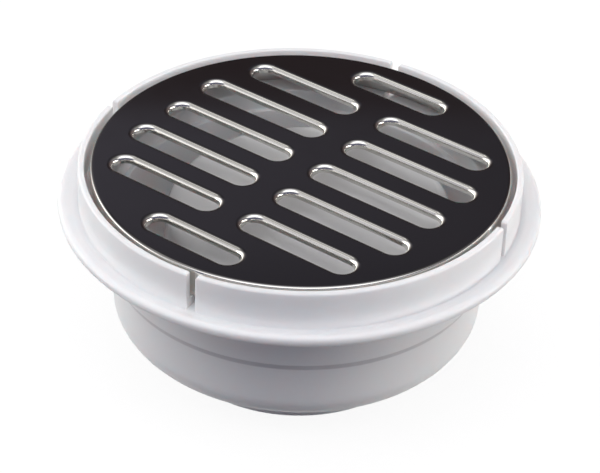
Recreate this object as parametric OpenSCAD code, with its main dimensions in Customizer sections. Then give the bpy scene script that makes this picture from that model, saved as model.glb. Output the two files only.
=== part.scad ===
// Floor gully trap: a moulded plastic trap body, a removable water-seal bell
// and a pressed stainless grate that drops into the collar.
// Millimetres, +Z up, origin at the centre of the outlet spigot's lower end.

/* [Overall] */
// Height from the lower end of the outlet spigot to the top of the collar
body_h = 66; // [62:1:90]

/* [Grate] */
// Outer diameter of the pressed grate
grate_d = 127; // [118:1:150]
// Thickness of the grate's sheet
sheet_t = 0.8; // [0.6:0.1:1.2]
// Outer radius of the bend between the grate's face and its skirt
rim_bend_r = 1.2; // [1.2:0.1:2.5]
// Height of the grate from its face to the lower edge of its skirt
grate_h = 9.2; // [7:0.2:14]
// How far the grate's face lies below the top of the collar
grate_sink = 0.4; // [0:0.1:1.5]
// Width of a slot, measured on the face between its two bends
slot_w = 11.15; // [8:0.25:13]
// Distance between the centrelines of neighbouring rows of slots
slot_pitch = 17.08; // [15:0.1:20]
// Greatest length of one slot
slot_l = 48.5; // [35:0.5:52]
// Width of the web that divides the long rows at the middle of the grate
slot_web = 6.9; // [4:0.1:12]
// Margin between the centre of a slot's round end and the edge of the grate
slot_margin = 10.75; // [9:0.25:16]
// A row whose whole length is under this has no middle web
slot_whole_l = 60; // [50:1:65]
// Outer radius of the bend round a slot
lip_bend_r = 1.2; // [1.2:0.1:1.8]
// Depth of a slot's turned-down lip below the face
lip_h = 2.4; // [2:0.1:3.5]

/* [Collar] */
// Clearance between the grate's skirt and the collar
grate_gap = 1.6; // [0.5:0.1:2.5]
// Wall of the collar at its top
collar_t = 1.9; // [1.6:0.1:3]
// Radius of the concave fillet at the collar's foot
collar_fillet = 3; // [1.5:0.25:4]
// Number of slits in the collar
slit_n = 4; // [2:1:8]
// Width of a slit
slit_w = 2.8; // [2:0.1:5]
// Direction of the first slit, measured from the slots' direction
slit_angle = 9.7; // [0:0.1:44]
// Radius of the rounded corners at the mouth of a slit
slit_corner_r = 1; // [0.5:0.1:2]
// How far a slit is cut into the grate's seat, measured from the collar's bore
slit_depth = 6; // [2:0.25:8]

/* [Flange] */
// How far the flange stands out from the collar
flange_w = 6.25; // [5:0.25:20]
// Thickness of the flange, which has a fully rounded edge
flange_t = 3.4; // [2.4:0.1:5]
// Height of the grate's seat above the flange's upper face
seat_rise = 1.3; // [0.5:0.1:3]

/* [Trap body] */
// Outer diameter of the bowl, which enters a 4 inch pipe socket
bowl_d = 114.3; // [110:0.1:118]
// Wall of the bowl
bowl_t = 2.8; // [2.4:0.1:4]
// Height of the bowl's underside above the end of the spigot
bowl_lift = 10.3; // [8:0.1:15]
// Thickness of the bowl's floor
floor_t = 3; // [2.4:0.1:5]
// Outer radius between the bowl's wall and its underside
bowl_round = 9.8; // [6:0.1:14]
// How far the neck under the flange stands out from the bowl
neck_step = 1.2; // [0.6:0.1:2]
// Height of the neck, from the flange down to the step
neck_h = 17.8; // [10:0.1:24]
// Height of the sloping step between neck and bowl
step_h = 2.4; // [1:0.1:4]
// How far the mouth above the bowl is wider than the bowl's bore
mouth_step = 1.6; // [0.4:0.1:2]
// Depth of the wider mouth below the grate's seat
mouth_depth = 6.4; // [4:0.1:12]
// Radius of the fillet between the neck and the underside of the flange
neck_fillet = 2; // [0.5:0.1:4]

/* [Outlet] */
// Outer diameter of the outlet spigot
spigot_d = 82; // [75:0.1:86]
// Wall of the outlet spigot
spigot_t = 3; // [2.4:0.1:4]
// Chamfer on the lower end of the spigot
spigot_chamfer = 1; // [0.5:0.1:2]
// Outer diameter of the standpipe inside the bowl
pipe_d = 58; // [46:0.5:62]
// Radius of the fillet between the spigot and the bowl's underside
spigot_fillet = 1.5; // [0.5:0.1:2.5]
// Wall of the standpipe
pipe_t = 2.6; // [2:0.1:4]
// Radius of the fillet at the standpipe's foot
pipe_fillet = 1.5; // [0.5:0.1:3]
// Height of the standpipe's rim above the bowl's floor
pipe_h = 30.5; // [24:0.5:36]

/* [Bell] */
// Clear space between the standpipe and the bell at the bell's lower edge
bell_space = 14.5; // [8:0.1:17]
// How much the bell's radius shrinks from its lower edge to its top
bell_draft = 2.5; // [1:0.25:6]
// Wall of the bell
bell_t = 2.2; // [1.6:0.1:3]
// Radius of the bell's shoulder
bell_round = 6; // [4:0.25:9]
// Rise of the domed top from the shoulder to the middle
bell_dome = 2; // [1:0.1:4]
// Gap between the bell's lower edge and the bowl's floor
bell_gap = 7; // [5:0.25:12]
// Clear height between the standpipe's rim and the top inside the bell
bell_head = 7.2; // [6:0.1:12]
// How far the loose bell stands from the standpipe's axis
bell_shift = 3; // [0:0.1:3]
// Direction in which the bell has moved, measured from the slots' direction
bell_angle = 36; // [0:1:359]
// Number of ribs inside the bell
rib_n = 4; // [3:1:6]
// Thickness of a rib
rib_t = 2; // [1.6:0.1:3]
// How far the ribs reach down outside the standpipe
rib_reach = 12; // [6:0.5:18]
// Clearance that is left where a rib comes nearest to the standpipe
rib_gap = 0.4; // [0.3:0.1:1]
// Least reach of a rib over the standpipe's bore
rib_over = 1; // [0:0.1:6]

/* [Hidden] */

$fn = 96;
eps = 0.01;

// Grate
face_z = body_h - grate_sink;
skirt_z = face_z - grate_h;
grate_r = grate_d / 2;
slot_limit = grate_r - slot_margin;
slot_r = slot_w / 2;
lip_r = slot_r - lip_bend_r;
bend_in_r = lip_bend_r - sheet_t;
rim_in_r = rim_bend_r - sheet_t;
slot_reach = slot_web / 2 + slot_l - slot_r;
row_max = floor(slot_limit / slot_pitch);
rows = [for (row = [-row_max : row_max]) if (row_reach(row * slot_pitch) > slot_r) row];

// Collar and flange
collar_ri = grate_r + grate_gap;
collar_r = collar_ri + collar_t;
collar_round = collar_t / 2;
flange_r = collar_r + flange_w;
flange_z = skirt_z - seat_rise;
flange_edge = flange_t / 2;

// Bowl
bowl_r = bowl_d / 2;
bowl_ri = bowl_r - bowl_t;
neck_r = bowl_r + neck_step;
mouth_r = bowl_ri + mouth_step;
mouth_z = skirt_z - mouth_depth;
slit_root_r = collar_ri - slit_depth;
floor_z = bowl_lift + floor_t;
step_z = flange_z - flange_t - neck_h;
bowl_round_in = bowl_round - bowl_t;
spigot_r = spigot_d / 2;
spigot_ri = spigot_r - spigot_t;

// Standpipe and bell
pipe_r = pipe_d / 2;
pipe_ri = pipe_r - pipe_t;
rim_z = floor_z + pipe_h;
bell_z = floor_z + bell_gap;
bell_inner_z = rim_z + bell_head;
bell_top_z = bell_inner_z + bell_t;
bell_r = pipe_r + bell_space + bell_t;
bell_top_r = bell_r - bell_draft;
bell_taper = atan(bell_draft / (bell_top_z - bell_z));
shoulder_z = bell_top_z - bell_round;
shoulder_r = bell_top_r + bell_round * tan(bell_taper) - bell_round / cos(bell_taper);
dome_h = bell_round + bell_dome;
bell_dome_r = (shoulder_r * shoulder_r + dome_h * dome_h - bell_round * bell_round) / (2 * bell_dome);
dome_z = bell_top_z + bell_dome - bell_dome_r;
dome_angle = asin(shoulder_r / (bell_dome_r - bell_round));
rib_in_r = pipe_ri - bell_shift - rib_over;
rib_leg_r = pipe_r + bell_shift + rib_gap;

// ---------- shared shapes ----------

// Rectangle between two corners of a section.
module box2(r0, z0, r1, z1) {
    translate([r0, z0]) square([r1 - r0, z1 - z0]);
}

// Concave fillet that fills the corner at [r, z]; dr and dz are +1 or -1 and
// point from the corner into the open space.
module corner_fill(r, z, dr, dz, rad) {
    difference() {
        box2(
            min(r - dr * eps, r + dr * rad), min(z - dz * eps, z + dz * rad),
            max(r - dr * eps, r + dr * rad), max(z - dz * eps, z + dz * rad)
        );
        translate([r + dr * rad, z + dz * rad]) circle(rad);
    }
}

// Sheet bent through a right angle: a quarter ring round [r, z], from the
// sheet's edge at r to the turned-down leg on the side given by dr.
module bend_section(r, z, dr, outer, inner) {
    intersection() {
        translate([r, z]) difference() {
            circle(outer);
            if (inner > 0) circle(inner);
        }
        translate([dr > 0 ? r : r - outer, z]) square(outer);
    }
}

// ---------- body ----------

// Solid outline of the bowl and neck, up to the flange.
module bowl_outline() {
    corner_z = bowl_lift + bowl_round;
    box2(0, bowl_lift, bowl_r - bowl_round, corner_z);
    translate([bowl_r - bowl_round, corner_z]) circle(bowl_round);
    polygon([
        [0, corner_z], [bowl_r, corner_z], [bowl_r, step_z - step_h],
        [neck_r, step_z], [neck_r, flange_z - flange_edge], [0, flange_z - flange_edge]
    ]);
}

// Water space inside the bowl, with the recessed mouth above it.
module bowl_cavity() {
    corner_r = bowl_ri - bowl_round_in;
    corner_z = floor_z + bowl_round_in;
    box2(pipe_r, floor_z, corner_r, corner_z);
    translate([corner_r, corner_z]) circle(bowl_round_in);
    box2(pipe_r, corner_z, bowl_ri, body_h);
    box2(pipe_r, mouth_z, mouth_r, body_h);
    box2(0, rim_z, pipe_r + eps, body_h);
}

// Flange with its rounded edge, and the seat that carries the grate.
module flange_section() {
    box2(bowl_ri, flange_z - flange_t, flange_r - flange_edge, flange_z);
    translate([flange_r - flange_edge, flange_z - flange_edge]) circle(flange_edge);
    box2(bowl_ri, flange_z - flange_edge, collar_ri + eps, skirt_z);
    corner_fill(neck_r, flange_z - flange_t, 1, -1, neck_fillet);
}

// Upright collar with a rounded top and a concave foot on the flange.
module collar_section() {
    box2(collar_ri, flange_z - flange_edge, collar_r, body_h - collar_round);
    translate([collar_ri + collar_round, body_h - collar_round]) circle(collar_round);
    corner_fill(collar_r, flange_z, 1, 1, collar_fillet);
}

// Outlet spigot below the bowl, chamfered at its lower end.
module spigot_section() {
    polygon([
        [spigot_ri, 0], [spigot_r - spigot_chamfer, 0], [spigot_r, spigot_chamfer],
        [spigot_r, bowl_lift + eps], [spigot_ri, bowl_lift + eps]
    ]);
    corner_fill(spigot_r, bowl_lift, 1, -1, spigot_fillet);
}

module body_section() {
    difference() {
        union() {
            bowl_outline();
            flange_section();
        }
        bowl_cavity();
        box2(0, bowl_lift - eps, pipe_ri, body_h);
    }
    corner_fill(pipe_r, floor_z, 1, 1, pipe_fillet);
    collar_section();
    spigot_section();
}

// Cutter for one slit: straight sides, with its mouth rounded outwards.
module slit() {
    top_z = body_h - slit_corner_r;
    reach = collar_r + collar_fillet + slit_corner_r;
    rotate([90, 0, 90])
        translate([0, 0, slit_root_r])
            linear_extrude(reach - slit_root_r)
                difference() {
                    union() {
                        box2(-slit_w / 2, flange_z, slit_w / 2, body_h + eps);
                        box2(-slit_w / 2 - slit_corner_r, top_z, slit_w / 2 + slit_corner_r, body_h + eps);
                    }
                    for (side = [-1, 1])
                        translate([side * (slit_w / 2 + slit_corner_r), top_z]) circle(slit_corner_r);
                }
}

module body() {
    color("whitesmoke")
        difference() {
            rotate_extrude() body_section();
            for (i = [0 : slit_n - 1])
                rotate([0, 0, slit_angle + i * 360 / slit_n]) slit();
        }
}

// ---------- bell ----------

// Outline of the bell, set in from its outer surface by the given distance: a
// tapered skirt, a rounded shoulder and a domed top that run into each other.
// The skirt's line runs on below the bell's lower edge by the length cut_h.
// Skirt and dome lie eps inside the shoulder's round, so that they cross it.
module bell_form(inset, cut_h) {
    round_r = bell_round - inset;
    dome_r = bell_dome_r - inset - eps;
    ray = bell_dome_r + 1;
    skirt_r = round_r - eps;
    polygon([
        [0, bell_z - cut_h],
        [bell_r + cut_h * tan(bell_taper) - (inset + eps) / cos(bell_taper), bell_z - cut_h],
        [shoulder_r + skirt_r * cos(bell_taper), shoulder_z + skirt_r * sin(bell_taper)],
        [shoulder_r, shoulder_z], [0, shoulder_z]
    ]);
    translate([shoulder_r, shoulder_z]) circle(round_r);
    intersection() {
        translate([0, dome_z]) circle(dome_r, $fn = 720);
        polygon([
            [0, shoulder_z], [shoulder_r, shoulder_z],
            [ray * sin(dome_angle), dome_z + ray * cos(dome_angle)], [0, dome_z + ray]
        ]);
    }
}

// Rib inside the bell: it stands on the standpipe's rim and reaches down
// outside it, which keeps the loose bell on the pipe. It runs on past the
// bell's wall, and only what lies inside the bell stays.
module rib_section() {
    box2(rib_in_r, rim_z, bell_r, bell_top_z + bell_dome);
    box2(rib_leg_r, rim_z - rib_reach, bell_r, rim_z + eps);
}

// Space inside the bell, between its ribs.
module bell_cavity() {
    difference() {
        rotate_extrude() bell_form(bell_t, 1);
        for (i = [0 : rib_n - 1])
            rotate([90, 0, (i + 0.5) * 360 / rib_n])
                translate([0, 0, -rib_t / 2])
                    linear_extrude(rib_t) rib_section();
    }
}

module bell() {
    color("white")
        rotate([0, 0, bell_angle])
            translate([bell_shift, 0, 0])
                difference() {
                    rotate_extrude() bell_form(0, 0);
                    bell_cavity();
                }
}

// ---------- grate ----------

// Half length of a slot's straight part and its centre's distance from the
// middle of its row, for the row at distance y from the grate's centre.
function row_reach(y) = min(slot_reach, sqrt(slot_limit * slot_limit - y * y));
function row_split(y) = 2 * (row_reach(y) + slot_r) > slot_whole_l;
function slot_half(y) =
    row_split(y) ? (row_reach(y) - slot_web / 2 - slot_r) / 2 : row_reach(y);
function slot_mid(y) = row_split(y) ? row_reach(y) - slot_half(y) : 0;

// Section, drawn outwards from a slot's middle line, carried round the slot.
module round_slot(half) {
    for (side = [-1, 1])
        translate([side * half, 0, 0])
            rotate([0, 0, side * -90])
                rotate_extrude(angle = 180) children();
    for (turn = [0, 180])
        rotate([0, 0, turn])
            translate([-half, 0, 0])
                rotate([90, 0, 90]) linear_extrude(2 * half) children();
}

// Every slot of the grate in its place; children(0) is its section.
module all_slots() {
    for (row = rows) {
        y = row * slot_pitch;
        for (side = row_split(y) ? [-1, 1] : [0])
            translate([side * slot_mid(y), y, face_z])
                round_slot(slot_half(y)) children();
    }
}

// Face and skirt, bent from one round sheet.
module sheet_section() {
    edge_r = grate_r - rim_bend_r;
    box2(0, -sheet_t, edge_r, 0);
    bend_section(edge_r, -rim_bend_r, 1, rim_bend_r, rim_in_r);
    box2(grate_r - sheet_t, -grate_h, grate_r, -rim_bend_r);
}

// Lip of a slot, turned down from the face.
module lip_section() {
    bend_section(slot_r, -lip_bend_r, -1, lip_bend_r, bend_in_r);
    box2(lip_r, -lip_h, lip_r + sheet_t, -lip_bend_r);
}

module grate() {
    color("silver") {
        difference() {
            translate([0, 0, face_z]) rotate_extrude() sheet_section();
            all_slots() box2(0, -2 * sheet_t, slot_r, sheet_t);
        }
        all_slots() lip_section();
    }
}

body();
bell();
grate();
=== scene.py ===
"""Floor gully trap: moulded trap body, water-seal bell and pressed steel grate."""

import math

import bmesh
import bpy
from mathutils import Matrix, Vector


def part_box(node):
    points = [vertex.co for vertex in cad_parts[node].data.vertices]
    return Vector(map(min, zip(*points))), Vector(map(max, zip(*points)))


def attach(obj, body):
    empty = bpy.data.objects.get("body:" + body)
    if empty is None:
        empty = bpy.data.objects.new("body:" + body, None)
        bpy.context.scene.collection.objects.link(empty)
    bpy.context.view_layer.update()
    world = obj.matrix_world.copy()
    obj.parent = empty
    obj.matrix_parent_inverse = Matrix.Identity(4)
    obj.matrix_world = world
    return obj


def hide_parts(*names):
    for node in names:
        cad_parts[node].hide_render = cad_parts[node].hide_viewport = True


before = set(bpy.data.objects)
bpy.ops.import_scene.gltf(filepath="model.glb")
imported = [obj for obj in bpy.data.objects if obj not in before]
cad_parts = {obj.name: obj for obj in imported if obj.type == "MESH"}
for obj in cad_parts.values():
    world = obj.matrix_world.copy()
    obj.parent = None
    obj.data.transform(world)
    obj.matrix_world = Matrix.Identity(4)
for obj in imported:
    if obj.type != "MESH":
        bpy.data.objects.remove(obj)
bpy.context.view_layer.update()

MM = 0.001

# Levels and outer radii, taken from the frame
BODY_LOW, BODY_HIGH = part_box("body")
BELL_LOW, BELL_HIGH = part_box("bell")
GRATE_LOW, GRATE_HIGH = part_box("grate")
COLLAR_TOP = BODY_HIGH.z
FACE = GRATE_HIGH.z
SEAT = GRATE_LOW.z
FLANGE_R = BODY_HIGH.x
GRATE_R = GRATE_HIGH.x
BELL_R = (BELL_HIGH.x - BELL_LOW.x) / 2
BELL_EDGE = BELL_LOW.z
BELL_APEX = BELL_HIGH.z

# Collar and flange
COLLAR_R = 67.0 * MM
COLLAR_BORE_R = 65.1 * MM
COLLAR_ROUND = 0.8 * MM
SEAT_RISE = 1.3 * MM
FLANGE_TOP = SEAT - SEAT_RISE
FLANGE_T = 3.4 * MM
FLANGE_UNDER_ROUND = 1.69 * MM
FLANGE_TOP_ROUND = 1.3 * MM
FLANGE_RIM = 2.0 * MM
FLANGE_DISH = 1.4 * MM
DISH_MARGIN = 1.5 * MM
DISH_ROUND = 3.0 * MM
DISH_FLOOR = FLANGE_TOP - FLANGE_DISH

# Neck and bowl
BOWL_R = 57.15 * MM
BOWL_T = 2.8 * MM
BOWL_BORE_R = BOWL_R - BOWL_T
BOWL_ROUND = 9.8 * MM
BOWL_BORE_ROUND = 7.0 * MM
NECK_R = BOWL_R + 1.2 * MM
NECK_H = 17.8 * MM
NECK_FILLET = 2.0 * MM
STEP_TOP = FLANGE_TOP - FLANGE_T - NECK_H
STEP_FOOT = STEP_TOP - 2.4 * MM
MOUTH_R = BOWL_BORE_R + 1.6 * MM
MOUTH_Z = SEAT - 6.4 * MM

# Floor, outlet spigot and standpipe
BOWL_UNDERSIDE = 10.3 * MM
BOWL_FLOOR = BOWL_UNDERSIDE + 3.0 * MM
SPIGOT_R = 41.0 * MM
SPIGOT_BORE_R = 38.0 * MM
SPIGOT_CHAMFER = 1.0 * MM
PIPE_R = 29.0 * MM
PIPE_BORE_R = 26.4 * MM
PIPE_RIM = BOWL_FLOOR + 30.5 * MM

# Slits through the collar
SLIT_COUNT = 4
SLIT_ANGLE = math.radians(9.7)
SLIT_W = 2.8 * MM
SLIT_ROOT_R = COLLAR_BORE_R - 6.0 * MM
SLIT_REACH_R = COLLAR_R + 1.2 * MM
SLIT_FOOT = DISH_FLOOR + 0.03 * MM
SLIT_ROUND = 1.0 * MM
SLIT_ROUND_STEPS = 8

# Bell
BELL_T = 2.2 * MM
BELL_DRAFT = 2.5 * MM
BELL_ROUND = 6.0 * MM
BELL_DOME = 2.0 * MM
BELL_SHIFT = 3.0 * MM
BELL_ANGLE = math.radians(36)
DOME_STEPS = 24
SHOULDER_STEPS = 14
RIB_COUNT = 4
RIB_T = 2.0 * MM
RIB_REACH = 12.0 * MM
RIB_OVER = 1.0 * MM
RIB_GAP = 0.4 * MM
RIB_IN_R = PIPE_BORE_R - BELL_SHIFT - RIB_OVER
RIB_LEG_R = PIPE_R + BELL_SHIFT + RIB_GAP

# Grate
SHEET_T = 0.8 * MM
RIM_BEND = 1.2 * MM
LIP_BEND = 1.8 * MM
LIP_H = 2.4 * MM
SLOT_W = 11.15 * MM
SLOT_R = SLOT_W / 2
SLOT_PITCH = 17.08 * MM
SLOT_LENGTH = 48.5 * MM
SLOT_WEB = 6.9 * MM
SLOT_MARGIN = 10.75 * MM
SLOT_WHOLE = 60.0 * MM
SLOT_ROWS_ASIDE = 3
FACE_FADE = 0.42 * MM
FACE_FULL = 0.02 * MM

# Fineness of the meshes
ROUND_STEPS = 288
SLOT_END_STEPS = 32
EDGE_POINTS = 33
ARC_STEP = math.radians(9)
SHARP_ANGLE = math.radians(35)
SAME_POINT = 0.001 * MM
SEAM_GAP = 0.005 * MM

# Studio: the way its front faces, from -Y towards +X
FRONT = math.radians(35.98)


# ---------- node trees ----------


class Value:
    """An output socket of a node tree; arithmetic on it adds Math nodes."""

    def __init__(self, tree, socket):
        self.tree = tree
        self.socket = socket

    def maths(self, operation, *terms):
        inputs = dict(enumerate(terms))
        return self.tree.node("ShaderNodeMath", {"operation": operation}, inputs)

    def __add__(self, other):
        return self.maths("ADD", self, other)

    __radd__ = __add__

    def __sub__(self, other):
        return self.maths("SUBTRACT", self, other)

    def __rsub__(self, other):
        return self.maths("SUBTRACT", other, self)

    def __mul__(self, other):
        return self.maths("MULTIPLY", self, other)

    __rmul__ = __mul__

    def __truediv__(self, other):
        return self.maths("DIVIDE", self, other)

    def at_least(self, other):
        return self.maths("MAXIMUM", self, other)

    def at_most(self, other):
        return self.maths("MINIMUM", self, other)

    def sine(self):
        return self.maths("SINE", self)

    def cosine(self):
        return self.maths("COSINE", self)

    def size(self):
        return self.maths("ABSOLUTE", self)

    def ramp(self, low, high):
        """0 at low, 1 at high, with a smooth run between them; low may be above high."""
        settings = {"interpolation_type": "SMOOTHSTEP"}
        inputs = {"Value": self, "From Min": low, "From Max": high}
        return self.tree.node("ShaderNodeMapRange", settings, inputs)


class Tree:
    """A node tree that is written as calls and expressions."""

    def __init__(self, graph):
        self.graph = graph

    def node(self, kind, settings=None, inputs=None, output=0):
        """A new node: settings are set first, then the values or links of its sockets."""
        node = self.graph.nodes.new(kind)
        for name, value in (settings or {}).items():
            setattr(node, name, value)
        for key, value in (inputs or {}).items():
            if isinstance(value, Value):
                self.graph.links.new(value.socket, node.inputs[key])
            else:
                node.inputs[key].default_value = value
        return Value(self, node.outputs[output]) if node.outputs else None

    def mix(self, factor, first, second):
        """Colour that goes from first to second with factor."""
        settings = {"data_type": "RGBA"}
        inputs = {0: factor, 6: first, 7: second}
        return self.node("ShaderNodeMix", settings, inputs, output=2)

    def place(self):
        """The point's place on the piece, in metres."""
        return self.node("ShaderNodeTexCoord", output="Object")

    def split(self, vector, axis):
        return self.node("ShaderNodeSeparateXYZ", inputs={0: vector}, output=axis)

    def noise(self, vector, scale, detail):
        inputs = {"Vector": vector, "Scale": scale, "Detail": detail}
        return self.node("ShaderNodeTexNoise", inputs=inputs)

    def bump(self, height, depth):
        inputs = {"Height": height, "Strength": 1.0, "Distance": depth}
        return self.node("ShaderNodeBump", inputs=inputs)


def cleared(owner):
    """Empty node tree of a material or world."""
    owner.use_nodes = True
    owner.node_tree.nodes.clear()
    return Tree(owner.node_tree)


def colour(red, green, blue):
    return (red, green, blue, 1.0)


def finish(name, paint):
    """A material; paint(tree) returns the inputs of its main shader."""
    material = bpy.data.materials.new(name)
    tree = cleared(material)
    shader = tree.node("ShaderNodeBsdfPrincipled", inputs=paint(tree))
    tree.node("ShaderNodeOutputMaterial", inputs={"Surface": shader})
    return material


# ---------- finishes ----------


# Light that passes through the thin white walls
THROUGH_PLASTIC = {
    "Subsurface Weight": 0.7,
    "Subsurface Radius": (1.0, 0.82, 0.78),
    "Subsurface Scale": 3.0 * MM,
}


def trap_plastic(tree):
    """White moulding, with painted shade on the step under the neck: that band's colour is darkened, and
    it is also made duller.
    """
    place = tree.place()
    cloud = tree.noise(place, 26.0, 4.0)
    grain = tree.noise(place, 900.0, 2.0)
    waves = tree.noise(place, 60.0, 1.0)
    east = tree.split(place, 0)
    north = tree.split(place, 1)
    level = tree.split(place, 2)

    outside = (east * east + north * north).ramp((BOWL_R - 1.0 * MM) ** 2, (BOWL_R - 0.5 * MM) ** 2)
    above = level.ramp(STEP_FOOT - 0.4 * MM, STEP_FOOT + 0.2 * MM)
    below = 1 - level.ramp(STEP_TOP - 0.4 * MM, STEP_TOP + 0.2 * MM)
    step = outside * above * below

    base = tree.mix(cloud.ramp(0.35, 0.7), colour(0.845, 0.845, 0.857), colour(0.865, 0.863, 0.867))
    # Painted shade: the band on the step under the neck gets a darker colour for the shade that falls
    # there; its added roughness only makes it duller
    base = tree.mix(step, base, colour(0.70, 0.695, 0.71))
    return {
        "Base Color": base,
        "Roughness": 0.24 + 0.1 * cloud + 0.2 * step,
        "Normal": tree.bump(waves * 0.8 + grain * 0.05, 0.06 * MM),
        "Specular IOR Level": 0.22,
        **THROUGH_PLASTIC,
    }


def bell_plastic(tree):
    """Glossier and whiter moulding, with the soft waves of a thin cup."""
    place = tree.place()
    cloud = tree.noise(place, 34.0, 3.0)
    waves = tree.noise(place, 70.0, 1.5)
    return {
        "Base Color": tree.mix(cloud, colour(0.925, 0.928, 0.935), colour(0.94, 0.94, 0.94)),
        "Roughness": 0.05 + 0.05 * cloud,
        "Normal": tree.bump(waves, 0.35 * MM),
    }


def polished_steel(tree):
    """Bright polished steel, whose flat face is darkened by a painted reflection of the dim room, ending
    just inside each bend.
    """
    place = tree.place()
    cloud = tree.noise(place, 18.0, 2.0)
    fine = tree.noise(place, 140.0, 3.0)
    level = tree.split(place, 2)
    facing = tree.split(tree.node("ShaderNodeNewGeometry", output="Normal"), 2)
    flat = level.ramp(FACE - FACE_FADE, FACE - FACE_FULL)
    under = (0 - facing).ramp(0.3, 0.8)

    bright = tree.mix(fine, colour(0.66, 0.65, 0.615), colour(0.72, 0.71, 0.68))
    bright = tree.mix(under, bright, colour(0.93, 0.92, 0.90))
    # Painted reflection: the flat face gets a near-black colour that stands in for the dim room its
    # mirror would show
    painted_dark_reflection = tree.mix(cloud, colour(0.070, 0.066, 0.071), colour(0.086, 0.083, 0.089))
    return {
        "Base Color": tree.mix(flat, bright, painted_dark_reflection),
        "Metallic": 1.0,
        "Roughness": 0.12 - 0.08 * flat + 0.05 * fine + 0.4 * under,
        "Normal": tree.bump(cloud, 0.04 * MM),
    }


# ---------- shared shapes ----------


def put(name, data):
    piece = bpy.data.objects.new(name, data)
    bpy.context.scene.collection.objects.link(piece)
    return piece


def drop(*pieces):
    for piece in pieces:
        bpy.data.objects.remove(piece)


def finished(name, shell):
    """Object made from a bmesh shell, with its faces pointing outwards."""
    bmesh.ops.recalc_face_normals(shell, faces=shell.faces)
    mesh = bpy.data.meshes.new(name)
    shell.to_mesh(mesh)
    shell.free()
    return put(name, mesh)


def rounded(corners):
    """Closed outline from corners (r, z, radius), each turned into an arc."""
    outline = []
    for i, (r, z, radius) in enumerate(corners):
        corner = Vector((r, z))
        before = Vector(corners[i - 1][:2]) - corner
        after = Vector(corners[(i + 1) % len(corners)][:2]) - corner
        before.normalize()
        after.normalize()
        half = before.angle(after) / 2
        centre = corner + (before + after).normalized() * (radius / math.sin(half))
        first = corner + before * (radius / math.tan(half)) - centre
        last = corner + after * (radius / math.tan(half)) - centre
        sweep = first.angle_signed(last)
        steps = max(3, round(abs(sweep) / ARC_STEP))
        for step in range(steps + 1):
            outline.append(centre + Matrix.Rotation(-sweep * step / steps, 2) @ first)
    return [tuple(point) for point in outline]


def turned(name, outline):
    """Closed mesh made by turning a closed (r, z) outline round the Z axis."""
    shell = bmesh.new()
    rings = []
    for i in range(ROUND_STEPS):
        turn = 2 * math.pi * i / ROUND_STEPS
        ring = [(r * math.cos(turn), r * math.sin(turn), z) for r, z in outline]
        rings.append([shell.verts.new(point) for point in ring])
    for i, ring in enumerate(rings):
        following = rings[(i + 1) % len(rings)]
        for j in range(len(outline)):
            k = (j + 1) % len(outline)
            shell.faces.new((ring[j], following[j], following[k], ring[k]))
    bmesh.ops.remove_doubles(shell, verts=shell.verts, dist=SAME_POINT)
    bmesh.ops.dissolve_degenerate(shell, edges=shell.edges, dist=SAME_POINT)
    return finished(name, shell)


def plate(name, outline, thickness):
    """Flat solid with an outline of (x, z) points, centred on the XZ plane."""
    shell = bmesh.new()
    front = [shell.verts.new((x, -thickness / 2, z)) for x, z in outline]
    back = [shell.verts.new((x, thickness / 2, z)) for x, z in outline]
    shell.faces.new(front)
    shell.faces.new(back)
    for i in range(len(outline)):
        k = (i + 1) % len(outline)
        shell.faces.new((front[i], front[k], back[k], back[i]))
    return finished(name, shell)


def settle(piece):
    """Turns the piece and its modifiers into one plain mesh object."""
    scene_now = bpy.context.evaluated_depsgraph_get()
    mesh = bpy.data.meshes.new_from_object(piece.evaluated_get(scene_now))
    name = piece.name
    drop(piece)
    return put(name, mesh)


def modified(piece, kind, **settings):
    """Gives the piece the result of one modifier as its plain mesh."""
    modifier = piece.modifiers.new(kind, kind)
    for name, value in settings.items():
        setattr(modifier, name, value)
    return settle(piece)


def grown(piece, group, values):
    """Runs a geometry tree on the piece and keeps the result as a plain mesh."""
    modifier = piece.modifiers.new(group.name, "NODES")
    modifier.node_group = group
    for item in group.interface.items_tree:
        if item.in_out == "INPUT" and item.name in values:
            modifier[item.identifier] = values[item.name]
    return settle(piece)


def dressed(piece, material):
    """Gives the piece one material and smooth shading, except across its sharp edges."""
    piece.data.materials.clear()
    piece.data.materials.append(material)
    piece.data.shade_smooth()
    piece.data.set_sharp_from_angle(angle=SHARP_ANGLE)
    return piece


def geometry_tree(name, sizes):
    """An empty geometry tree and its inputs by name: the geometry and the given sizes."""
    group = bpy.data.node_groups.new(name, "GeometryNodeTree")
    group.interface.new_socket("Geometry", in_out="INPUT", socket_type="NodeSocketGeometry")
    for size, kind in sizes.items():
        group.interface.new_socket(size, in_out="INPUT", socket_type=kind)
    group.interface.new_socket("Geometry", in_out="OUTPUT", socket_type="NodeSocketGeometry")
    tree = Tree(group)
    entry = group.nodes.new("NodeGroupInput")
    given = {socket.name: Value(tree, socket) for socket in entry.outputs if socket.name}
    return tree, given


def end_tree(tree, geometry, material):
    """Ends a geometry tree with real geometry in the given material."""
    real = tree.node("GeometryNodeRealizeInstances", inputs={"Geometry": geometry})
    inputs = {"Geometry": real, "Material": material}
    painted = tree.node("GeometryNodeSetMaterial", inputs=inputs)
    tree.node("NodeGroupOutput", inputs={0: painted})
    return tree.graph


def copies_round_axis():
    """Tree that repeats a solid at equal turns round the Z axis."""
    sizes = {
        "Count": "NodeSocketInt",
        "First Angle": "NodeSocketFloat",
        "Material": "NodeSocketMaterial",
    }
    tree, given = geometry_tree("copies_round_axis", sizes)
    line = tree.node("GeometryNodeMeshLine", inputs={"Count": given["Count"], "Offset": (0, 0, 0)})
    index = tree.node("GeometryNodeInputIndex")
    angle = given["First Angle"] + index * (2 * math.pi) / given["Count"]
    turn = tree.node("ShaderNodeCombineXYZ", inputs={"Z": angle})
    inputs = {"Points": line, "Instance": given["Geometry"], "Rotation": turn}
    copies = tree.node("GeometryNodeInstanceOnPoints", inputs=inputs)
    return end_tree(tree, copies, given["Material"])


# ---------- trap body ----------


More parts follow.
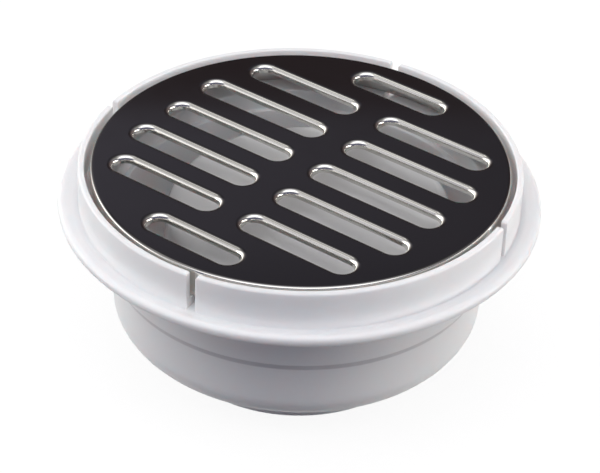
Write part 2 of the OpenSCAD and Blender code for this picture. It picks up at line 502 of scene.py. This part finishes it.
def body_outline():
    """Section of the trap, from the spigot's end up its outside, and down its inside."""
    keen = 0.3 * MM
    soft = 0.5 * MM
    return rounded([
        (SPIGOT_BORE_R, BODY_LOW.z, keen),
        (SPIGOT_R - SPIGOT_CHAMFER, BODY_LOW.z, keen),
        (SPIGOT_R, BODY_LOW.z + SPIGOT_CHAMFER, soft),
        (SPIGOT_R, BOWL_UNDERSIDE, 1.5 * MM),
        (BOWL_R, BOWL_UNDERSIDE, BOWL_ROUND),
        (BOWL_R, STEP_FOOT, soft),
        (NECK_R, STEP_TOP, soft),
        (NECK_R, FLANGE_TOP - FLANGE_T, NECK_FILLET),
        (FLANGE_R, FLANGE_TOP - FLANGE_T, FLANGE_UNDER_ROUND),
        (FLANGE_R, FLANGE_TOP, FLANGE_TOP_ROUND),
        (FLANGE_R - FLANGE_RIM, FLANGE_TOP, 1.5 * MM),
        (COLLAR_R + DISH_MARGIN, DISH_FLOOR, DISH_ROUND),
        (COLLAR_R, DISH_FLOOR, 0.45 * MM),
        (COLLAR_R, COLLAR_TOP, COLLAR_ROUND),
        (COLLAR_BORE_R, COLLAR_TOP, 0.4 * MM),
        (COLLAR_BORE_R, SEAT, keen),
        (MOUTH_R, SEAT, soft),
        (MOUTH_R, MOUTH_Z, keen),
        (BOWL_BORE_R, MOUTH_Z, 0.4 * MM),
        (BOWL_BORE_R, BOWL_FLOOR, BOWL_BORE_ROUND),
        (PIPE_R, BOWL_FLOOR, 1.5 * MM),
        (PIPE_R, PIPE_RIM, soft),
        (PIPE_BORE_R, PIPE_RIM, soft),
        (PIPE_BORE_R, BOWL_UNDERSIDE, soft),
        (SPIGOT_BORE_R, BOWL_UNDERSIDE, soft),
    ])


def slit_cutters(copies, plastic):
    """One cutter for each slit: straight sides, opening out in a round at the top."""
    half = SLIT_W / 2
    shoulder = COLLAR_TOP - SLIT_ROUND
    above = COLLAR_TOP + 1.0 * MM
    outline = [(-half, SLIT_FOOT), (half, SLIT_FOOT)]
    for step in range(SLIT_ROUND_STEPS + 1):
        turn = math.pi / 2 * step / SLIT_ROUND_STEPS
        side = half + SLIT_ROUND * (1 - math.cos(turn))
        outline.append((side, shoulder + SLIT_ROUND * math.sin(turn)))
    outline.append((half + SLIT_ROUND, above))
    outline += [(-x, z) for x, z in reversed(outline[2:])]
    cutter = plate("slit_cutter", outline, SLIT_REACH_R - SLIT_ROOT_R)
    middle = (SLIT_REACH_R + SLIT_ROOT_R) / 2
    quarter_turn = Matrix.Rotation(math.pi / 2, 4, "Z")
    cutter.data.transform(Matrix.Translation((middle, 0, 0)) @ quarter_turn)
    return grown(cutter, copies, {"Count": SLIT_COUNT, "First Angle": SLIT_ANGLE, "Material": plastic})


def make_body(copies, plastic):
    body = turned("trap_body", body_outline())
    cutters = slit_cutters(copies, plastic)
    body = modified(body, "BOOLEAN", operation="DIFFERENCE", solver="EXACT", object=cutters)
    drop(cutters)
    return dressed(body, plastic)


# ---------- bell ----------


def bell_line(inset):
    """Points of the bell's surface from its apex to its lower edge, set in by inset."""
    top_z = BELL_APEX - BELL_DOME
    top_r = BELL_R - BELL_DRAFT
    taper = math.atan(BELL_DRAFT / (top_z - BELL_EDGE))
    shoulder_r = top_r + BELL_ROUND * math.tan(taper) - BELL_ROUND / math.cos(taper)
    shoulder_z = top_z - BELL_ROUND
    rise = BELL_ROUND + BELL_DOME
    dome_r = (shoulder_r**2 + rise**2 - BELL_ROUND**2) / (2 * BELL_DOME)
    dome_z = BELL_APEX - dome_r
    dome_end = math.asin(shoulder_r / (dome_r - BELL_ROUND))
    line = []
    for step in range(DOME_STEPS + 1):
        turn = dome_end * step / DOME_STEPS
        radius = dome_r - inset
        line.append((radius * math.sin(turn), dome_z + radius * math.cos(turn)))
    for step in range(1, SHOULDER_STEPS + 1):
        turn = dome_end + (math.pi / 2 - taper - dome_end) * step / SHOULDER_STEPS
        radius = BELL_ROUND - inset
        line.append((shoulder_r + radius * math.sin(turn), shoulder_z + radius * math.cos(turn)))
    line.append((BELL_R - inset / math.cos(taper), BELL_EDGE))
    return line


def rib_outline():
    """Section of a rib: it stands on the standpipe's rim and reaches down outside it."""
    inner = bell_line(BELL_T / 2)
    head = [point for point in inner if point[0] > RIB_IN_R]
    (last_r, last_z), (edge_r, edge_z) = inner[-2:]
    low_z = PIPE_RIM - RIB_REACH
    low_r = last_r + (low_z - last_z) / (edge_z - last_z) * (edge_r - last_r)
    outline = [(RIB_IN_R, PIPE_RIM), (RIB_IN_R, head[0][1])]
    outline += head[:-1]
    outline += [(low_r, low_z), (RIB_LEG_R, low_z), (RIB_LEG_R, PIPE_RIM)]
    return outline


def make_bell(copies, plastic):
    bell = turned("water_bell", bell_line(0) + list(reversed(bell_line(BELL_T))))
    ribs = plate("bell_rib", rib_outline(), RIB_T)
    first = BELL_ANGLE + math.pi / RIB_COUNT
    ribs = grown(ribs, copies, {"Count": RIB_COUNT, "First Angle": first, "Material": plastic})
    bell = modified(bell, "BOOLEAN", operation="UNION", solver="EXACT", object=ribs)
    drop(ribs)
    middle = (BELL_LOW + BELL_HIGH) / 2
    bell.data.transform(Matrix.Translation((middle.x, middle.y, 0)))
    return dressed(bell, plastic)


# ---------- grate ----------


def slot_places():
    """Middle and half straight length of every slot: (x, y, half)."""
    limit = GRATE_R - SLOT_MARGIN
    places = []
    for row in range(-SLOT_ROWS_ASIDE, SLOT_ROWS_ASIDE + 1):
        y = row * SLOT_PITCH
        reach = min(SLOT_WEB / 2 + SLOT_LENGTH - SLOT_R, math.sqrt(limit**2 - y**2))
        if 2 * (reach + SLOT_R) > SLOT_WHOLE:
            half = (reach - SLOT_WEB / 2 - SLOT_R) / 2
            places += [(-(reach - half), y, half), (reach - half, y, half)]
        else:
            places.append((0, y, reach))
    return places


def slot_loop(x, y, half):
    """Outline of one slot on the face, with close points where a round end starts."""
    guard = 0.25 * MM
    loop = []
    for side in (1, -1):
        for step in range(SLOT_END_STEPS + 1):
            turn = -math.pi / 2 + math.pi * step / SLOT_END_STEPS
            loop.append((x + side * (half + SLOT_R * math.cos(turn)), y + side * SLOT_R * math.sin(turn)))
        loop.append((x + side * (half - guard), y + side * SLOT_R))
        loop.append((x - side * (half - guard), y + side * SLOT_R))
    return loop


def rim_loop():
    """Circle on the face where the rim starts to bend."""
    radius = GRATE_R - RIM_BEND
    turns = [2 * math.pi * step / ROUND_STEPS for step in range(ROUND_STEPS)]
    return [(radius * math.cos(turn), radius * math.sin(turn)) for turn in turns]


def loops_object(name, loops):
    """Closed loops on the XY plane, as one curve."""
    curve = bpy.data.curves.new(name, "CURVE")
    curve.dimensions = "3D"
    for loop in loops:
        spline = curve.splines.new("POLY")
        spline.points.add(len(loop) - 1)
        spline.use_cyclic_u = True
        for point, (x, y) in zip(spline.points, loop):
            point.co = (x, y, 0, 1)
    return put(name, curve)


def turned_down_edge():
    """Tree that carries a bent-down edge along every loop of the sheet.

    Side is 1 where the sheet bends away from the loop's inside and -1 where it
    bends into it.
    """
    sizes = {
        "Bend Radius": "NodeSocketFloat",
        "Depth": "NodeSocketFloat",
        "Side": "NodeSocketFloat",
        "Points": "NodeSocketInt",
        "Material": "NodeSocketMaterial",
    }
    tree, given = geometry_tree("turned_down_edge", sizes)
    bend = given["Bend Radius"]
    line = tree.node("GeometryNodeCurvePrimitiveLine", inputs={"End": (1, 0, 0)})
    inputs = {"Curve": line, "Count": given["Points"]}
    section = tree.node("GeometryNodeResampleCurve", inputs=inputs)

    # The section's first half makes the bend, its second half the straight part below
    along = tree.node("GeometryNodeSplineParameter", output="Factor") * 2
    turn = along.at_most(1) * (math.pi / 2)
    out = bend * turn.sine() * given["Side"]
    down = bend * (1 - turn.cosine()) + (along - 1).at_least(0) * (given["Depth"] - bend)
    point = tree.node("ShaderNodeCombineXYZ", inputs={"X": out, "Y": down})
    inputs = {"Geometry": section, "Position": point}
    section = tree.node("GeometryNodeSetPosition", inputs=inputs)

    inputs = {"Curve": given["Geometry"]}
    path = tree.node("GeometryNodeSetCurveNormal", {"mode": "Z_UP"}, inputs)
    inputs = {"Curve": path, "Profile Curve": section}
    edge = tree.node("GeometryNodeCurveToMesh", inputs=inputs)
    edge = tree.node("GeometryNodeSetShadeSmooth", inputs={0: edge})
    return end_tree(tree, edge, given["Material"])


def flat_face():
    """Tree that fills the space between the loops with flat sheet."""
    tree, given = geometry_tree("flat_face", {"Material": "NodeSocketMaterial"})
    inputs = {"Curve": given["Geometry"]}
    sheet = tree.node("GeometryNodeFillCurve", {"mode": "TRIANGLES"}, inputs)
    inputs = {0: sheet, "Shade Smooth": False}
    sheet = tree.node("GeometryNodeSetShadeSmooth", inputs=inputs)
    return end_tree(tree, sheet, given["Material"])


def joined(name, sheets, material):
    """One mesh of several sheets, with the points that lie together merged."""
    shell = bmesh.new()
    for sheet in sheets:
        shell.from_mesh(sheet.data)
    bmesh.ops.remove_doubles(shell, verts=shell.verts, dist=SEAM_GAP)
    piece = finished(name, shell)
    piece.data.materials.append(material)
    drop(*sheets)
    return piece


def make_grate(steel):
    slots = [slot_loop(*place) for place in slot_places()]
    rim = rim_loop()
    edge = turned_down_edge()
    shared = {"Points": EDGE_POINTS, "Material": steel}
    lip = {"Bend Radius": LIP_BEND, "Depth": LIP_H, "Side": -1.0, **shared}
    skirt = {"Bend Radius": RIM_BEND, "Depth": FACE - SEAT, "Side": 1.0, **shared}
    sheets = [
        grown(loops_object("face", [rim] + slots), flat_face(), {"Material": steel}),
        grown(loops_object("slot_lips", slots), edge, lip),
        grown(loops_object("rim_and_skirt", [rim]), edge, skirt),
    ]
    grate = joined("slotted_grate", sheets, steel)
    grate.data.transform(Matrix.Translation((0, 0, FACE)))
    return modified(grate, "SOLIDIFY", thickness=SHEET_T, offset=-1.0, use_even_offset=True)


# ---------- studio ----------


def direction(azimuth, elevation):
    """Unit vector out from the trap; azimuth is measured from -Y towards +X."""
    level = math.cos(elevation)
    return Vector((math.sin(azimuth) * level, -math.cos(azimuth) * level, math.sin(elevation)))


def make_camera():
    elevation = math.radians(35.30)
    roll = math.radians(2.01)
    distance = 0.70214
    left = 0.00029
    down = 0.02231

    lens = bpy.data.cameras.new("camera")
    lens.sensor_width = 36.0
    lens.lens = 140.04
    lens.clip_start = 0.01
    lens.clip_end = 20.0
    camera = put("camera", lens)
    back = direction(FRONT, elevation)
    right = Vector((0, 0, 1)).cross(back).normalized()
    up = back.cross(right)
    across = math.cos(roll) * right + math.sin(roll) * up
    upward = -math.sin(roll) * right + math.cos(roll) * up
    target = Vector((0, 0, FACE))
    place = target + distance * back - left * across - down * upward
    turn = Matrix((across, upward, back)).transposed()
    camera.matrix_world = Matrix.Translation(place) @ turn.to_4x4()
    bpy.context.scene.camera = camera


def make_bell_light():
    """Soft square lamp high on the left and a little behind, for the glint on the bell."""
    side = 0.25
    distance = 1.2
    brightness = 1.5
    aim = Vector((0, 0, 0.04))
    light = bpy.data.lights.new("bell_light", "AREA")
    light.size = side
    light.energy = brightness * side * side * math.pi
    light.color = (1.0, 0.99, 0.97)
    out = direction(FRONT - math.radians(120), math.radians(60))
    lamp = put("bell_light", light)
    lamp.location = aim + out * distance
    lamp.rotation_euler = (-out).to_track_quat("-Z", "Y").to_euler()


def seen_rays(tree):
    """1 for rays that show a surface straight, mirrored or through something clear."""
    seen = tree.node("ShaderNodeLightPath", output="Is Camera Ray")
    for ray in ("Is Glossy Ray", "Is Transmission Ray"):
        seen = seen.at_least(tree.node("ShaderNodeLightPath", output=ray))
    return seen


def make_floor():
    """White floor that keeps the trap's faint shadow and throws little light up at it."""
    radius = 4.0
    gap = 0.1 * MM
    material = bpy.data.materials.new("pale_floor")
    tree = cleared(material)
    speck = tree.noise(tree.place(), 40.0, 3.0)
    lit = tree.mix(speck, colour(0.075, 0.072, 0.08), colour(0.085, 0.082, 0.09))
    dull = tree.node("ShaderNodeBsdfDiffuse", inputs={"Color": lit})
    shadow = tree.node("ShaderNodeBsdfDiffuse", inputs={"Color": colour(0.12, 0.12, 0.12)})
    glow = tree.node("ShaderNodeEmission", inputs={"Color": colour(1, 1, 1), "Strength": 0.91})
    white = tree.node("ShaderNodeAddShader", inputs={0: shadow, 1: glow})
    both = tree.node("ShaderNodeMixShader", inputs={0: seen_rays(tree), 1: dull, 2: white})
    tree.node("ShaderNodeOutputMaterial", inputs={"Surface": both})
    bpy.ops.mesh.primitive_circle_add(vertices=96, radius=radius, fill_type="NGON")
    floor = bpy.context.object
    floor.name = "floor"
    floor.data.transform(Matrix.Translation((0, 0, BODY_LOW.z - gap)))
    floor.data.materials.append(material)


def make_world():
    """Studio light: a bright wall on each side, a ceiling and a dim room; seen straight, it is white."""
    world = bpy.data.worlds.new("studio")
    tree = cleared(world)
    sight = tree.node("ShaderNodeTexCoord", output="Generated")
    east = tree.split(sight, 0)
    north = tree.split(sight, 1)
    height = tree.split(sight, 2)
    near = east * math.sin(FRONT) - north * math.cos(FRONT)
    across = east * math.cos(FRONT) + north * math.sin(FRONT)
    right = across.ramp(-0.2, 0.2)

    # Back of the room, which the flat face mirrors: a reddish foot and a dim band at the top
    rear = tree.mix(across.ramp(-0.12, 0.12), colour(0.40, 0.385, 0.44), colour(0.25, 0.235, 0.26))
    rear = tree.mix(height.ramp(0.575, 0.60), rear, colour(0.24, 0.23, 0.26))
    rear = tree.mix(height.ramp(0.528, 0.537), colour(0.18, 0.14, 0.14), rear)
    room = tree.mix(near.ramp(-0.6, 0.6), rear, colour(0.15, 0.15, 0.22))

    # Ceiling, whose edge comes down at the sides and which is brightest in front
    ceiling = (height + 0.02 * near + 0.15 * across.size()).ramp(0.67, 0.84)
    shine = 0.5 * height.ramp(0.84, 1.0) + near.ramp(0.0, 0.45)
    far_part = tree.mix(right, colour(0.56, 0.55, 0.53), colour(0.34, 0.336, 0.33))
    overhead = tree.mix(shine, far_part, colour(2.36, 2.35, 2.40))

    # Walls: the left one is wide and a little behind, the right one narrow and brighter
    aside = (near + 0.22 - 0.23 * right).size()
    wall_end = 0.78 - 0.24 * right
    wall_core = 0.25 - 0.15 * right
    fall = 1.55 + 1.05 * right
    walls = aside.ramp(wall_end, wall_core) * (1 - ceiling) * (1 - fall * height)
    wall = tree.mix(right, colour(5.7, 5.65, 5.5), colour(14.4, 14.0, 13.2))

    light = tree.mix(walls, room, wall)
    light = tree.mix(ceiling, light, overhead)
    studio = tree.node("ShaderNodeBackground", inputs={"Color": light})
    backdrop = tree.node("ShaderNodeBackground", inputs={"Color": colour(1, 1, 1)})
    straight = tree.node("ShaderNodeLightPath", output="Is Camera Ray")
    both = tree.node("ShaderNodeMixShader", inputs={0: straight, 1: studio, 2: backdrop})
    tree.node("ShaderNodeOutputWorld", inputs={"Surface": both})
    bpy.context.scene.world = world


# ---------- assembly ----------

make_camera()
make_floor()
make_world()
make_bell_light()

plastic = finish("trap_plastic", trap_plastic)
copies = copies_round_axis()
body = make_body(copies, plastic)
bell = make_bell(copies, finish("bell_plastic", bell_plastic))
grate = make_grate(finish("polished_steel", polished_steel))

for piece, node, slot in (
    (body, "body", "trap_body"),
    (bell, "bell", "trap_bell"),
    (grate, "grate", "grate_steel"),
):
    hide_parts(node)
    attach(piece, "root")

scene = bpy.context.scene
scene.view_settings.view_transform = "Standard"
